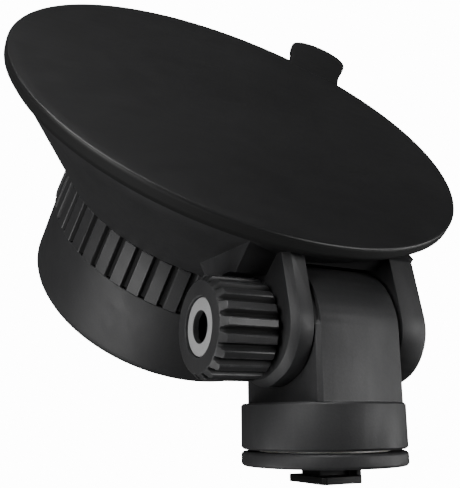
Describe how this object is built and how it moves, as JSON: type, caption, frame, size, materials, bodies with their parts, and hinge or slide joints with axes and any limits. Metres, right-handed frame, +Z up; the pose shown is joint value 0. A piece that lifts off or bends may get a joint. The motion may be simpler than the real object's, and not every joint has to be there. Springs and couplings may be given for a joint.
{
  "type": "dash camera suction mount",
  "caption": "Suction mount for a dash camera: round pad, ribbed twist-lock base, tilting arm with a fluted tightening knob, and a swivelling T-shaped camera foot.",
  "frame": {"origin": "centre of the suction face, on the glass", "axes": "+Z up along the arm as it hangs in use, +X along the hinge axis away from the tightening knob; the suction face's outward normal leans 50 degrees from +Z towards -Y"},
  "size_m": [0.0828, 0.0732, 0.0982],
  "materials": {
    "pad_rubber": "satin smooth elastomer",
    "black_plastic": "fine moulded texture",
    "knob_plastic": "fine moulded texture, worn flutes",
    "disc_plastic": "coarse spark-eroded texture",
    "foot_plastic": "smooth, slightly oily glass-filled nylon",
    "natural_plastic": "smooth acetal",
    "washer_fibre": "pressed fibre",
    "plated_steel": "zinc plated",
    "black_steel": "black oxide",
    "brass": "turned"
  },
  "bodies": {
    "base": {"suction_pad": "pad_rubber", "base_housing": "black_plastic", "slip_washer": "natural_plastic", "pivot_nut": "plated_steel"},
    "stem": {"lift_stem": "plated_steel", "stem_pin": "plated_steel"},
    "lock_knob": {"cam_plate": "black_plastic", "grip_ring": "black_plastic", "lock_cap": "black_plastic", "cap_screws": "plated_steel"},
    "arm": {"swing_arm": "black_plastic", "friction_washer_left": "washer_fibre", "friction_washer_right": "washer_fibre", "threaded_insert": "brass"},
    "knob_washer": {"thrust_washer": "plated_steel"},
    "knob": {"pivot_screw": "black_steel", "tightening_knob": "knob_plastic", "knob_disc": "disc_plastic"},
    "foot": {"swivel_disc": "black_plastic", "wave_washer": "natural_plastic", "tee_foot": "foot_plastic", "swivel_screw": "black_steel"}
  },
  "joints": [
    {"name": "twist_lock", "type": "hinge", "parent": "base", "child": "lock_knob", "pos_m": [0, 0, 0], "axis": [0, -0.766, 0.6428], "range_deg": [0, 100]},
    {"name": "stem_lift", "type": "slide", "parent": "base", "child": "stem", "axis": [0, 0.766, -0.6428], "range_m": [0, 0.0016]},
    {"name": "arm_tilt", "type": "hinge", "parent": "base", "child": "arm", "pos_m": [0.004, -0.01395, -0.0409], "axis": [1, 0, 0], "range_deg": [-40, 35]},
    {"name": "knob_advance", "type": "slide", "parent": "base", "child": "knob_washer", "axis": [-1, 0, 0], "range_m": [0, 0.0007]},
    {"name": "knob_turn", "type": "hinge", "parent": "knob_washer", "child": "knob", "pos_m": [-0.0096, -0.01395, -0.0409], "axis": [-1, 0, 0], "range_deg": [0, 360]},
    {"name": "foot_swivel", "type": "hinge", "parent": "arm", "child": "foot", "pos_m": [0.004, -0.01395, -0.0589], "axis": [0, 0, 1], "continuous": true}
  ],
  "couplings": [
    {"joint": "stem_lift", "follows": "twist_lock", "m_per_rad": 0.00091673},
    {"joint": "knob_turn", "follows": "knob_advance", "rad_per_m": 8975.9}
  ]
}
